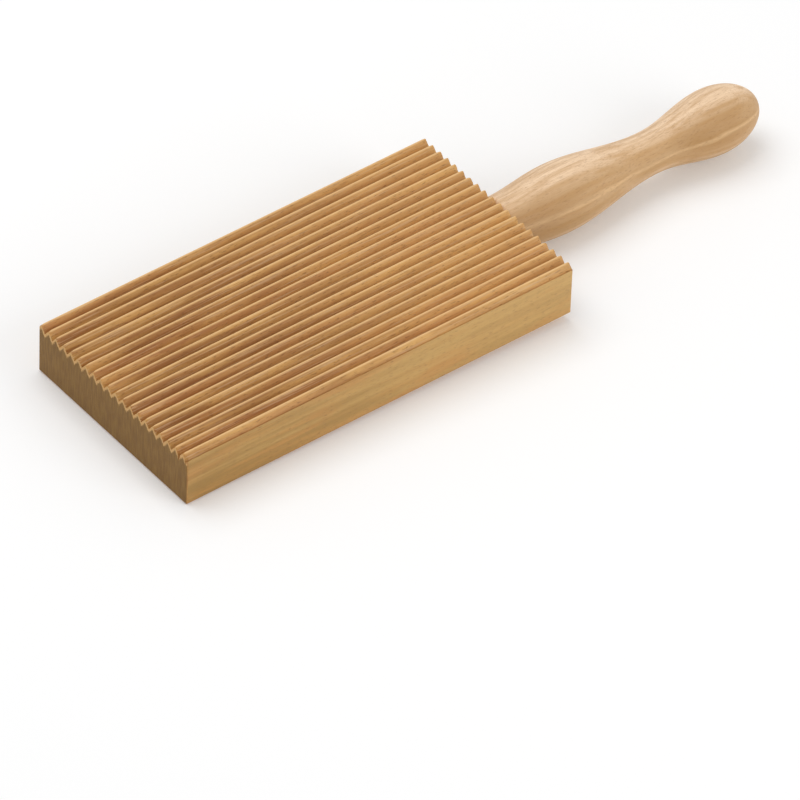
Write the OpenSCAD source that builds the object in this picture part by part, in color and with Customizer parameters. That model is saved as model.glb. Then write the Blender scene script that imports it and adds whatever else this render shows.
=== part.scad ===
// Gnocchi board: a ridged beech block with a turned handle glued into one end.
// Dough is rolled down the ridges, which run the long way of the block.
// Frame: X runs towards the handle, Z is up, and the origin lies on the block's
// flat underside, midway along its length and its width.

/* [Board] */
// Length of the ridged block, along the grain
board_len = 118; // [90:1:180]
// Width of the block, across the ridges
board_w = 60; // [42:1:90]
// Thickness of the block, from the underside to the crests
board_t = 15.5; // [14.5:0.5:24]
// Radius of the sanded edges of the block
edge_ease = 0.6; // [0.3:0.1:1.2]

/* [Ridges] */
// Distance from one crest to the next
ridge_pitch = 3; // [2.4:0.1:5]
// Depth of the V grooves below the crests
groove_depth = 1.8; // [0.8:0.1:2.2]
// Width of the flat that the cutter leaves on each crest
crest_flat = 0.2; // [0.1:0.05:0.6]
// Distance from the +Y edge to the bottom of the first whole groove
first_groove = 2.6; // [1.6:0.1:4]

/* [Handle] */
// Height of the handle's axis above the underside
handle_axis_z = 6.5; // [6.2:0.1:7.5]
// Diameter where the handle leaves the block
neck_d = 15.6; // [13:0.1:18]
// Radius of the rounding that brings the neck in to its seat
neck_ease = 1.4; // [0.8:0.1:2.2]
// Diameter of the swelling under the palm
swell_d = 18.1; // [16:0.1:24]
// Diameter of the waist
waist_d = 11.3; // [8:0.1:15]
// Diameter of the bulb at the free end
bulb_d = 17.2; // [14:0.1:24]
// Length from the block to the thickest point of the swelling
swell_run = 18.5; // [12:0.5:30]
// Length from the swelling to the waist
waist_run = 29.5; // [20:0.5:45]
// Length from the waist to the thickest point of the bulb
bulb_run = 20.5; // [14:0.5:35]
// Length of the rounded end, beyond the thickest point of the bulb
end_run = 13.5; // [8:0.5:20]

/* [Joint] */
// Diameter of the tenon turned on the handle
tenon_d = 8; // [6:0.5:9]
// Length of the tenon inside the block
tenon_len = 20; // [12:1:35]
// Chamfer on the end of the tenon
tenon_chamfer = 0.8; // [0.3:0.1:1.5]
// Gap all round the tenon, filled by a film of glue
tenon_clearance = 0.05; // [0.03:0.01:0.15]
// Depth left beyond the tenon for spare glue
glue_well = 1.5; // [0.5:0.5:4]

/* [Hidden] */

board_end = board_len / 2;
bore_depth = tenon_len + glue_well;
groove_half = (ridge_pitch - crest_flat) / 2;
neck_run = swell_run - neck_ease;
handle_len = swell_run + waist_run + bulb_run + end_run;
// How far a cutting shape runs past the face that it cuts
overrun = 1;
// Straight pieces in each stretch of the handle's outline, and in its small rounding
outline_steps = 16;
ease_steps = 6;
// Sides of a full circle
round_fn = 96;

// Rectangle from (x0, y0) to (x1, y1) with every corner rounded
module eased_rectangle(x0, y0, x1, y1, r) {
  translate([x0 + r, y0])
    square([x1 - x0 - 2 * r, y1 - y0]);
  translate([x0, y0 + r])
    square([x1 - x0, y1 - y0 - 2 * r]);
  for (x = [x0 + r, x1 - r], y = [y0 + r, y1 - r])
    translate([x, y])
      circle(r = r, $fn = round_fn);
}

// One V groove, point down, with its mouth at the crests and open above them
module groove_outline() {
  polygon([
    [-groove_half, 0],
    [0, -groove_depth],
    [groove_half, 0],
    [groove_half, overrun],
    [-groove_half, overrun]
  ]);
}

// Section across the block. The cutter's row of teeth runs off both long edges,
// so a slip of a ridge is left along each of them.
module ridged_section() {
  difference() {
    eased_rectangle(-board_w / 2, 0, board_w / 2, board_t, edge_ease);
    for (from_edge = [first_groove - ridge_pitch : ridge_pitch : board_w + groove_half])
      translate([board_w / 2 - from_edge, board_t])
        groove_outline();
  }
}

// The block: its ridged section along X, eased at both ends and at the four
// upright corners, and drilled for the tenon
module board() {
  color("#b98450")
    difference() {
      intersection() {
        translate([-board_end, 0, 0])
          rotate([90, 0, 90])
            linear_extrude(height = board_len)
              ridged_section();
        translate([0, board_w / 2 + overrun, 0])
          rotate([90, 0, 0])
            linear_extrude(height = board_w + 2 * overrun)
              eased_rectangle(-board_end, 0, board_end, board_t, edge_ease);
        translate([0, 0, -overrun])
          linear_extrude(height = board_t + 2 * overrun)
            eased_rectangle(-board_end, -board_w / 2, board_end, board_w / 2, edge_ease);
      }
      translate([board_end - bore_depth, 0, handle_axis_z])
        rotate([0, 90, 0])
          cylinder(h = bore_depth + overrun, d = tenon_d + 2 * tenon_clearance, $fn = round_fn);
    }
}

// Points [radius, distance] of a soft S curve from one diameter to the next
function blend(d0, d1, from, run) = [
  for (i = [0 : outline_steps - 1])
    let (u = i / outline_steps)
      [(d0 + (d1 - d0) * (1 - cos(180 * u)) / 2) / 2, from + run * u]
];

// Half outline of the handle, measured from the face of the block
handle_outline = concat(
  [
    [0, -tenon_len],
    [tenon_d / 2 - tenon_chamfer, -tenon_len],
    [tenon_d / 2, -tenon_len + tenon_chamfer],
    [tenon_d / 2, 0]
  ],
  [
    for (i = [0 : ease_steps - 1])
      let (turn = 90 * i / ease_steps)
        [neck_d / 2 - neck_ease * (1 - sin(turn)), neck_ease * (1 - cos(turn))]
  ],
  blend(neck_d, swell_d, neck_ease, neck_run),
  blend(swell_d, waist_d, swell_run, waist_run),
  blend(waist_d, bulb_d, swell_run + waist_run, bulb_run),
  [
    for (i = [0 : outline_steps - 1])
      let (turn = 90 * i / outline_steps)
        [bulb_d / 2 * cos(turn), handle_len - end_run * (1 - sin(turn))]
  ],
  [[0, handle_len]]
);

// The handle, turned in one piece with the tenon that is glued into the block
module handle() {
  color("#d9b58a")
    translate([board_end, 0, handle_axis_z])
      rotate([0, 90, 0])
        rotate_extrude($fn = round_fn)
          polygon(handle_outline);
}

board();
handle();
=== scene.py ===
import math

import bmesh
import bpy
from mathutils import Matrix, Vector, noise


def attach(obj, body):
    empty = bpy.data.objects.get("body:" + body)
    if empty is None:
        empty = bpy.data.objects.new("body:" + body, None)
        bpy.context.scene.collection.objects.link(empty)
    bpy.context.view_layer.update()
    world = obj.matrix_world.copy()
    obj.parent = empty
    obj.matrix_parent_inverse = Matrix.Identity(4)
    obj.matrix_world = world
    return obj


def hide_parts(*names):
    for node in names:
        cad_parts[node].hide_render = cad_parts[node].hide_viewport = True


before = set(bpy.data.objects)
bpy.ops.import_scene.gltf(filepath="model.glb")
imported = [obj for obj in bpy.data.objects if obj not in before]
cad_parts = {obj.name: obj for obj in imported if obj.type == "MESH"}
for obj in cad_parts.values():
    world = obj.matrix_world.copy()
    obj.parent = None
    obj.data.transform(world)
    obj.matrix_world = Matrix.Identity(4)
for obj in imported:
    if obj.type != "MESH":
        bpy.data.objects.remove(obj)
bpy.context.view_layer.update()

# Ridged block: one piece of oiled golden-brown beech with the grain along its length.
# A cutter ran twenty V grooves down its top face, and its edges were sanded by hand.
# The handle's tenon is glued into a blind bore in the end that faces the handle.
# Sizes are in millimetres, and MM turns them into the scene's metres.
MM = 0.001
BOARD_LEN = 118.0
BOARD_W = 60.0
BOARD_T = 15.5
EDGE_EASE = 0.6
RIDGE_PITCH = 3.0
RIDGE_SLOPE = 1.8 / 1.4
FIRST_CREST = BOARD_W / 2 - 1.1
CREST_ROUND = 0.13
SANDING_WEAR = 0.05
FRAYED_RUN = 1.4
FRAYED_DEPTH = 0.3
CHIPS_Y = (-26.6, -29.4)
CHIP_DEPTH = 1.4
CHIP_REACH_X = 0.9
CHIP_REACH_Y = 0.6
HANDLE_AXIS_Z = 6.5
BORE_RADIUS = 4.05
BORE_DEPTH = 21.5
BORE_SIDES = 64
MERGE_DISTANCE = 0.0001
SHARP_ANGLE = math.radians(42)

# Where the section has its points: either side of each crest, and down the plain faces.
CREST_STEPS = (0.0, 0.07, 0.16, 0.32, 0.6, 0.95, 1.25, 1.5)
EDGE_MARGIN = 0.05
SIDE_HEIGHTS = (2.0, 6.0, 11.0)
UNDERSIDE_STEPS = (20.0, 0.0, -20.0)
EASE_ANGLES = (0.0, 0.4, 0.8, 1.2, math.pi / 2)

# Where the sections stand: close together at the eased ends, and then at even steps.
END_STEPS = 6
BEYOND_EASE = (0.9, 1.3, 2.0, 3.0)
FIRST_EVEN = -54.0
EVEN_STEP = 2.0
EVEN_COUNT = 55


def crest_distance(y):
    """Distance across the grain from y to the nearest crest."""
    return abs((y - FIRST_CREST + RIDGE_PITCH / 2) % RIDGE_PITCH - RIDGE_PITCH / 2)


def ridge_height(x, y):
    """Height of the ridged face, with soft crests, sanding marks, frayed ends and chips."""
    half = BOARD_LEN / 2
    fall = math.hypot(crest_distance(y), CREST_ROUND) - CREST_ROUND
    worn = SANDING_WEAR * (1 + noise.noise(Vector((x * 0.04, y * 0.8, 3.1))))
    frayed = max(0.0, 1 - (half - abs(x)) / FRAYED_RUN)
    worn += frayed ** 2 * FRAYED_DEPTH * (1 + noise.noise(Vector((x * 1.5, y * 2.3, 8.7))))
    for chip_y in CHIPS_Y:
        away = math.hypot((x + half) / CHIP_REACH_X, (y - chip_y) / CHIP_REACH_Y)
        worn += CHIP_DEPTH * max(0.0, 1 - away)
    return BOARD_T - worn - RIDGE_SLOPE * fall


def section_ring(x, pull):
    """Points of the block's section at x, drawn in by pull where the end is eased."""
    half = BOARD_W / 2
    across = {-half, half}
    crest = FIRST_CREST + RIDGE_PITCH
    while crest > -half - RIDGE_PITCH:
        for step in CREST_STEPS:
            across.update(y for y in (crest - step, crest + step) if abs(y) < half - EDGE_MARGIN)
        crest -= RIDGE_PITCH
    corner = [(half - EDGE_EASE * (1 - math.cos(a)), EDGE_EASE * (1 - math.sin(a)))
              for a in EASE_ANGLES]
    ring = [(y, ridge_height(x, y)) for y in sorted(across)]
    ring += [(half, z) for z in reversed(SIDE_HEIGHTS)]
    ring += corner
    ring += [(y, 0.0) for y in UNDERSIDE_STEPS]
    ring += [(-y, z) for y, z in reversed(corner)]
    ring += [(-half, z) for z in SIDE_HEIGHTS]
    side = half - pull
    return [(max(-side, min(side, y)), max(pull, min(BOARD_T - pull, z))) for y, z in ring]


def end_distances():
    """Distances from an end at which sections stand."""
    eased = [EDGE_EASE * (1 - math.cos(math.pi / 2 * i / END_STEPS)) for i in range(END_STEPS + 1)]
    return eased + list(BEYOND_EASE)


def add_ring(builder, points):
    """Vertices at points given in millimetres."""
    return [builder.verts.new(Vector(point) * MM) for point in points]


def circle_points(x, radius, sides):
    """Points of a circle round the handle's axis at x."""
    turns = [math.tau * i / sides for i in range(sides)]
    return [(x, radius * math.cos(turn), HANDLE_AXIS_Z + radius * math.sin(turn)) for turn in turns]


def skin(builder, rings):
    """Faces from each ring to the next."""
    for here, there in zip(rings, rings[1:]):
        for i in range(len(here)):
            j = (i + 1) % len(here)
            builder.faces.new((here[i], here[j], there[j], there[i]))


def finished_piece(builder, name):
    """Close the mesh, shade it smooth but for its sharp edges, and put it in the scene."""
    bmesh.ops.recalc_face_normals(builder, faces=builder.faces)
    mesh = bpy.data.meshes.new(name)
    builder.to_mesh(mesh)
    builder.free()
    mesh.shade_smooth()
    mesh.set_sharp_from_angle(angle=SHARP_ANGLE)
    piece = bpy.data.objects.new(name, mesh)
    bpy.context.scene.collection.objects.link(piece)
    return piece


stations = [-BOARD_LEN / 2 + distance for distance in end_distances()]
stations += [FIRST_EVEN + EVEN_STEP * i for i in range(EVEN_COUNT)]
stations += [BOARD_LEN / 2 - distance for distance in reversed(end_distances())]

block_builder = bmesh.new()
sections = []
for x in stations:
    inside = max(0.0, EDGE_EASE - (BOARD_LEN / 2 - abs(x)))
    pull = EDGE_EASE - math.sqrt(EDGE_EASE ** 2 - inside ** 2)
    sections.append(add_ring(block_builder, [(x, y, z) for y, z in section_ring(x, pull)]))
skin(block_builder, sections)
bore = [add_ring(block_builder, circle_points(x, BORE_RADIUS, BORE_SIDES))
        for x in (BOARD_LEN / 2, BOARD_LEN / 2 - BORE_DEPTH)]
skin(block_builder, bore)
block_builder.faces.new(bore[1])

# Easing brings some points of an end section together. They are merged, and then each
# end is closed, with the bore's mouth left open in the one that faces the handle.
bmesh.ops.remove_doubles(block_builder, verts=block_builder.verts, dist=MERGE_DISTANCE * MM)
for end in (-1, 1):
    rim_edges = [edge for edge in block_builder.edges
                 if edge.is_boundary and edge.verts[0].co.x * end > 0]
    bmesh.ops.triangle_fill(block_builder, use_beauty=True, edges=rim_edges)
board = finished_piece(block_builder, "ridged_block")


class Shade:
    """A shader socket that takes part in arithmetic, one node for each operation."""

    def __init__(self, tree, socket=None):
        self.tree = tree
        self.socket = socket

    def node(self, kind, settings=None, sockets=None, output=0):
        """Add a node of any kind, set it up and give back one of its outputs."""
        made = self.tree.nodes.new(kind)
        for name, value in (settings or {}).items():
            setattr(made, name, value)
        for name, value in (sockets or {}).items():
            if isinstance(value, Shade):
                self.tree.links.new(value.socket, made.inputs[name])
            else:
                made.inputs[name].default_value = value
        return Shade(self.tree, made.outputs[output])

    def math(self, operation, *others):
        """A math node with this socket first."""
        values = dict(enumerate((self, *others)))
        return self.node("ShaderNodeMath", {"operation": operation}, values)

    def __add__(self, other):
        return self.math("ADD", other)

    def __radd__(self, other):
        return self.math("ADD", other)

    def __sub__(self, other):
        return self.math("SUBTRACT", other)

    def __rsub__(self, other):
        return self.node("ShaderNodeMath", {"operation": "SUBTRACT"}, {0: other, 1: self})

    def __mul__(self, other):
        return self.math("MULTIPLY", other)

    def __rmul__(self, other):
        return self.math("MULTIPLY", other)

    def __truediv__(self, other):
        return self.math("DIVIDE", other)

    def ramp(self, low, high):
        """Smooth step from 0 at low to 1 at high."""
        sockets = {"Value": self, "From Min": low, "From Max": high}
        return self.node("ShaderNodeMapRange", {"interpolation_type": "SMOOTHSTEP"}, sockets)

    def solid(self, colour):
        """One plain colour."""
        plain = self.node("ShaderNodeRGB")
        plain.socket.default_value = colour
        return plain

    def blend(self, other, amount):
        """This colour mixed with another by amount. Sockets 6 and 7 are the colours."""
        return self.node("ShaderNodeMix", {"data_type": "RGBA"}, {0: amount, 6: self, 7: other}, 2)

    def split(self):
        """The X, Y and Z of this vector."""
        parts = self.node("ShaderNodeSeparateXYZ", {}, {0: self}).socket.node.outputs
        return [Shade(self.tree, part) for part in parts]

    def cloudy(self, detail):
        """Noise at the place that this vector gives."""
        return self.node("ShaderNodeTexNoise", {}, {"Vector": self, "Scale": 1.0, "Detail": detail})

    def grain(self, along, across, seed, detail=4.0):
        """Noise drawn out along the grain, from a place in millimetres."""
        sockets = {0: self, 1: (along, across, across), 2: (seed, seed, seed)}
        stretched = self.node("ShaderNodeVectorMath", {"operation": "MULTIPLY_ADD"}, sockets)
        return stretched.cloudy(detail)


def paint(red, green, blue):
    """Colour of a 0-255 sRGB triple as the renderer takes it."""
    linear = [((c / 255 + 0.055) / 1.055) ** 2.4 for c in (red, green, blue)]
    return (*linear, 1.0)


def new_wood(name):
    """A new material with its shader, a start for its nodes and the place in millimetres."""
    material = bpy.data.materials.new(name)
    material.use_nodes = True
    start = Shade(material.node_tree)
    metres = start.node("ShaderNodeTexCoord", output="Object")
    sockets = {0: metres, "Scale": 1 / MM}
    place = start.node("ShaderNodeVectorMath", {"operation": "SCALE"}, sockets)
    return material, material.node_tree.nodes["Principled BSDF"], start, place


def finish_wood(piece, material, shader, colour, roughness, height, depth):
    """Join the colour, the roughness and the relief, depth millimetres deep, to the shader."""
    bump = colour.node("ShaderNodeBump", {}, {"Height": height, "Distance": depth * MM, "Strength": 1.0})
    tree = material.node_tree
    tree.links.new(colour.socket, shader.inputs["Base Color"])
    tree.links.new(roughness.socket, shader.inputs["Roughness"])
    tree.links.new(bump.socket, shader.inputs["Normal"])
    piece.data.materials.append(material)


oiled, shader, start, place = new_wood("oiled_beech")
x_mm, y_mm, z_mm = place.split()
face_x, face_y, face_z = start.node("ShaderNodeTexCoord", output="Normal").split()
ridged = face_z.ramp(0.2, 0.5)
long_side = face_y.math("ABSOLUTE").ramp(0.85, 0.98)
end_grain = face_x.math("ABSOLUTE").ramp(0.55, 0.9)
streaks = place.grain(0.02, 0.9, 4.0)
patches = place.grain(0.015, 0.09, 11.0, 2.0)
fibres = place.grain(0.3, 8.0, 7.0)
flecks = place.grain(0.55, 4.5, 21.0, 2.0).ramp(0.60, 0.68)

# The golden ground, with darker streaks and warmer patches.
golden = start.solid(paint(192, 142, 72))
colour = golden.blend(paint(164, 110, 48), streaks.ramp(0.36, 0.68))
colour = colour.blend(paint(212, 152, 92), patches.ramp(0.45, 0.7) * 0.5)

# Each ridge has a tone of its own, with yellow and brown stretches along it.
ridge_number = ((y_mm - FIRST_CREST) / RIDGE_PITCH + 0.5).math("FLOOR")
ridge_chance = start.node("ShaderNodeTexWhiteNoise", {"noise_dimensions": "1D"}, {"W": ridge_number})
ridge_place = {0: x_mm * 0.035, 1: ridge_number * 3.7, 2: z_mm * 0.4}
stretches = start.node("ShaderNodeCombineXYZ", {}, ridge_place).cloudy(5.0)
colour = colour.blend(paint(190, 120, 62), ridge_chance.ramp(0.3, 1.0) * ridged * 0.4)
colour = colour.blend(paint(222, 172, 96), stretches.ramp(0.48, 0.66) * ridged * 0.7)
colour = colour.blend(paint(152, 94, 40), (1 - stretches.ramp(0.34, 0.52)) * ridged * 0.6)

# The wood pales towards the handle. Flecks, fibres and pale streaks of painted highlight along the
# ridges lie over it.
colour = colour.blend(paint(234, 184, 112), x_mm.ramp(-50.0, 70.0) * 0.55)
colour = colour.blend(paint(118, 72, 30), flecks * 0.5)
colour = colour.blend(paint(160, 108, 52), fibres.ramp(0.45, 0.75) * 0.4)
painted_ridge_sheen = place.grain(0.06, 3.0, 87.0, 3.0).ramp(0.54, 0.66)
colour = colour.blend(paint(216, 180, 136), painted_ridge_sheen * ridged * 0.5)

# Painted shade darkens the bottoms of the grooves, and a painted highlight lies pale along the crests.
painted_groove_shade = (1 - z_mm.ramp(13.5, 15.0)) * ridged
colour = colour.blend(paint(116, 74, 34), painted_groove_shade * 0.12)
colour = colour.blend(paint(240, 198, 138), z_mm.ramp(15.05, 15.42) * ridged * 0.8)

# The long sides are plain, with lengthwise streaks, a few orange patches and flecks.
side_tone = golden.blend(paint(158, 122, 58), place.grain(0.03, 0.5, 31.0).ramp(0.3, 0.6))
side_tone = side_tone.blend(paint(194, 156, 88), place.grain(0.02, 0.35, 43.0).ramp(0.45, 0.65) * 0.8)
side_tone = side_tone.blend(paint(214, 174, 108), x_mm.ramp(-60.0, 60.0) * 0.5)
side_tone = side_tone.blend(paint(160, 116, 56), fibres.ramp(0.5, 0.7) * 0.3)
orange = place.grain(0.04, 0.25, 91.0, 2.0).ramp(0.5, 0.68)
side_tone = side_tone.blend(paint(196, 138, 72), orange * 0.5)
side_tone = side_tone.blend(paint(134, 92, 44), flecks * 0.55)
colour = colour.blend(side_tone, long_side * 0.85)

# The ends show darker end grain, with pale torn fibres along the mouths of the grooves.
steep = start.node("ShaderNodeVectorMath", {"operation": "MULTIPLY"}, {0: place, 1: (0.2, 1.8, 0.22)})
end_streaks = steep.cloudy(5.0)
end_tone = start.solid(paint(124, 88, 34))
end_tone = end_tone.blend(paint(150, 112, 50), end_streaks.ramp(0.3, 0.75) * 0.7)
from_valley = (y_mm - FIRST_CREST + RIDGE_PITCH / 2).math("WRAP", RIDGE_PITCH, 0.0)
from_crest = (from_valley - RIDGE_PITCH / 2).math("ABSOLUTE")
below_mouth = BOARD_T - RIDGE_SLOPE * from_crest - z_mm
torn = 1 - (below_mouth + place.grain(0.5, 2.2, 17.0).ramp(0.3, 0.7) * 0.5).ramp(1.1, 1.9)
end_tone = end_tone.blend(paint(226, 178, 112), torn * 0.8)
colour = colour.blend(end_tone, end_grain)

roughness = 0.46 + streaks * 0.12 + end_grain * 0.2
relief = fibres + flecks * 0.5 + end_streaks * end_grain
finish_wood(board, oiled, shader, colour, roughness, relief, 0.05)
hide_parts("board")
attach(board, "root")

# Handle: pale beech, turned between centres and sanded, with a swelling for the palm,
# a waist for the fingers and a round bulb. Its tenon is glued into the block.
# Distances along it are measured from the block.
TENON_RADIUS = 4.0
TENON_LEN = 20.0
TENON_CHAMFER = 0.8
NECK_RADIUS = 7.8
NECK_EASE = 1.4
SWELL_RADIUS = 9.05
WAIST_RADIUS = 5.65
BULB_RADIUS = 8.6
SWELL_AT = 18.5
WAIST_AT = 48.0
BULB_AT = 68.5
HANDLE_LEN = 82.0
HANDLE_SIDES = 96
NECK_STEPS = 8
BODY_STEPS = 130
TIP_STEPS = 24


def turned_radius(along):
    """Radius of the handle at a distance from the block."""
    if along < NECK_EASE:
        return NECK_RADIUS - NECK_EASE + math.sqrt(NECK_EASE ** 2 - (NECK_EASE - along) ** 2)
    if along > BULB_AT:
        share = (along - BULB_AT) / (HANDLE_LEN - BULB_AT)
        return BULB_RADIUS * math.sqrt(max(0.0, 1 - share ** 2))
    curves = ((NECK_EASE, SWELL_AT, NECK_RADIUS, SWELL_RADIUS),
              (SWELL_AT, WAIST_AT, SWELL_RADIUS, WAIST_RADIUS),
              (WAIST_AT, BULB_AT, WAIST_RADIUS, BULB_RADIUS))
    for begins, ends, before, after in curves:
        if along <= ends:
            share = (along - begins) / (ends - begins)
            return before + (after - before) * (1 - math.cos(math.pi * share)) / 2
    return BULB_RADIUS


neck = [NECK_EASE * (1 - math.cos(math.pi / 2 * i / NECK_STEPS)) for i in range(NECK_STEPS + 1)]
body = [NECK_EASE + (BULB_AT - NECK_EASE) * i / BODY_STEPS for i in range(1, BODY_STEPS + 1)]
rounding = [BULB_AT + (HANDLE_LEN - BULB_AT) * math.sin(math.pi / 2 * i / TIP_STEPS)
            for i in range(1, TIP_STEPS)]
outline = [(-TENON_LEN, TENON_RADIUS - TENON_CHAMFER),
           (TENON_CHAMFER - TENON_LEN, TENON_RADIUS),
           (0.0, TENON_RADIUS)]
outline += [(along, turned_radius(along)) for along in neck + body + rounding]

handle_builder = bmesh.new()
circles = [add_ring(handle_builder, circle_points(BOARD_LEN / 2 + along, radius, HANDLE_SIDES))
           for along, radius in outline]
skin(handle_builder, circles)
handle_builder.faces.new(circles[0])
tip = add_ring(handle_builder, [(BOARD_LEN / 2 + HANDLE_LEN, 0.0, HANDLE_AXIS_Z)])[0]
for i in range(HANDLE_SIDES):
    handle_builder.faces.new((circles[-1][i], circles[-1][(i + 1) % HANDLE_SIDES], tip))
handle = finished_piece(handle_builder, "turned_handle")

pale, shader, start, place = new_wood("pale_beech")
x_mm, y_mm, z_mm = place.split()
streaks = place.grain(0.025, 0.7, 51.0)
fibres = place.grain(0.35, 7.0, 57.0)
flecks = place.grain(0.5, 3.6, 63.0, 2.0).ramp(0.59, 0.66)
patches = place.grain(0.03, 0.12, 71.0, 2.0)

# The pale top is a painted highlight, and a golden band of painted shade runs along the near side.
# The angle is that round the handle's axis, from the side up to the top, and it wanders a little.
around = (z_mm - HANDLE_AXIS_Z).math("ARCTAN2", 0 - y_mm) + (patches - 0.5) * 0.9
near_side_shade = around.ramp(-0.9, 0.1) * (1 - around.ramp(0.7, 1.6))
colour = start.solid(paint(250, 218, 182)).blend(paint(186, 140, 78), near_side_shade * 0.7)
colour = colour.blend(paint(198, 152, 96), streaks.ramp(0.35, 0.7) * 0.6)
colour = colour.blend(paint(176, 134, 74), patches.ramp(0.45, 0.7) * near_side_shade * 0.5)

# The painted shade is darkest beside the block, where it is a painted contact shadow, and in the bulb,
# and the lower side is darkened with painted shade.
block_contact_shade = 1 - x_mm.ramp(64.0, 92.0)
in_bulb = x_mm.ramp(108.0, 118.0) * (1 - x_mm.ramp(126.0, 137.0))
colour = colour.blend(paint(166, 118, 54), (block_contact_shade + in_bulb) * near_side_shade * 0.4)
colour = colour.blend(paint(150, 118, 62), (1 - around.ramp(-0.75, -0.2)) * 0.5)

# One pale streak, a painted reflection of the white floor, runs the whole length, and flecks and fibres
# lie over everything.
painted_floor_reflection = around.ramp(0.22, 0.30) * (1 - around.ramp(0.34, 0.44))
colour = colour.blend(paint(238, 200, 150), painted_floor_reflection * streaks.ramp(0.3, 0.6) * 0.55)
colour = colour.blend(paint(150, 104, 58), flecks * 0.3)
colour = colour.blend(paint(184, 140, 96), fibres.ramp(0.45, 0.75) * 0.45)
roughness = 0.5 + streaks * 0.12
finish_wood(handle, pale, shader, colour, roughness, fibres + flecks * 0.4, 0.03)
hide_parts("handle")
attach(handle, "root")

# Floor: a plain white sheet that leans so as to touch the block's free-end edge and the
# handle's swelling, the two places on which the part rests. It lies a hair below them.
FLOOR_HALF = 4.0
FLOOR_GAP = 0.1
rest_run = BOARD_LEN + SWELL_AT
rest_drop = SWELL_RADIUS - HANDLE_AXIS_Z
corners = [(x * FLOOR_HALF, y * FLOOR_HALF, 0) for x, y in ((-1, -1), (1, -1), (1, 1), (-1, 1))]
floor_mesh = bpy.data.meshes.new("floor")
floor_mesh.from_pydata(corners, [], [(0, 1, 2, 3)])
floor = bpy.data.objects.new("floor", floor_mesh)
bpy.context.scene.collection.objects.link(floor)
floor.location = (-BOARD_LEN / 2 * MM, 0, -FLOOR_GAP * MM)
floor.rotation_euler = (0, math.atan2(rest_drop, rest_run), 0)
white = bpy.data.materials.new("white_sheet")
white.use_nodes = True
white_inputs = white.node_tree.nodes["Principled BSDF"].inputs
white_inputs["Base Color"].default_value = (0.92, 0.92, 0.92, 1.0)
white_inputs["Roughness"].default_value = 0.9
white_inputs["Specular IOR Level"].default_value = 0.0
white_inputs["Emission Color"].default_value = (1.0, 1.0, 1.0, 1.0)
white_inputs["Emission Strength"].default_value = 0.1
floor_mesh.materials.append(white)

# Light: a white room, one broad lamp overhead and one in front of the near side.
# Each lamp has its place and side in metres and its power in watts.
ROOM_STRENGTH = 0.55
LAMPS = (("overhead", (-0.1, 0.35, 1.0), 0.9, 5.0),
         ("front", (0.35, -0.95, 0.5), 0.7, 3.2))
world = bpy.data.worlds.new("studio")
world.use_nodes = True
bpy.context.scene.world = world
room_inputs = world.node_tree.nodes["Background"].inputs
room_inputs["Color"].default_value = (1.0, 1.0, 1.0, 1.0)
room_inputs["Strength"].default_value = ROOM_STRENGTH
for name, spot, side, watts in LAMPS:
    lamp_data = bpy.data.lights.new(name, "AREA")
    lamp_data.size = side
    lamp_data.energy = watts
    lamp = bpy.data.objects.new(name, lamp_data)
    bpy.context.scene.collection.objects.link(lamp)
    lamp.location = spot
    lamp.rotation_euler = (-Vector(spot)).to_track_quat("-Z", "Y").to_euler()

# Camera: a long lens to the left, in front of and above the part, as in the photograph.
# It looks at a point on the underside's level, and is rolled a little.
AZIMUTH = math.radians(-39.27)
ELEVATION = math.radians(42.23)
ROLL = math.radians(2.20)
DISTANCE = 2.472
LENS = 458.3
SENSOR_WIDTH = 36.0
CLIP_END = 20.0
AIM = Vector((5.49, -30.43, 0.0)) * MM
back = Vector((math.sin(AZIMUTH) * math.cos(ELEVATION),
               -math.cos(AZIMUTH) * math.cos(ELEVATION),
               math.sin(ELEVATION)))
right = (-back).cross(Vector((0, 0, 1))).normalized()
up = right.cross(-back)
rolled_right = math.cos(ROLL) * right + math.sin(ROLL) * up
rolled_up = math.cos(ROLL) * up - math.sin(ROLL) * right
camera_data = bpy.data.cameras.new("camera")
camera_data.lens = LENS
camera_data.sensor_width = SENSOR_WIDTH
camera_data.clip_end = CLIP_END
camera = bpy.data.objects.new("camera", camera_data)
bpy.context.scene.collection.objects.link(camera)
turn = Matrix((rolled_right, rolled_up, back)).transposed().to_4x4()
camera.matrix_world = Matrix.Translation(AIM + back * DISTANCE) @ turn
bpy.context.scene.camera = camera
bpy.context.scene.view_settings.view_transform = "Standard"
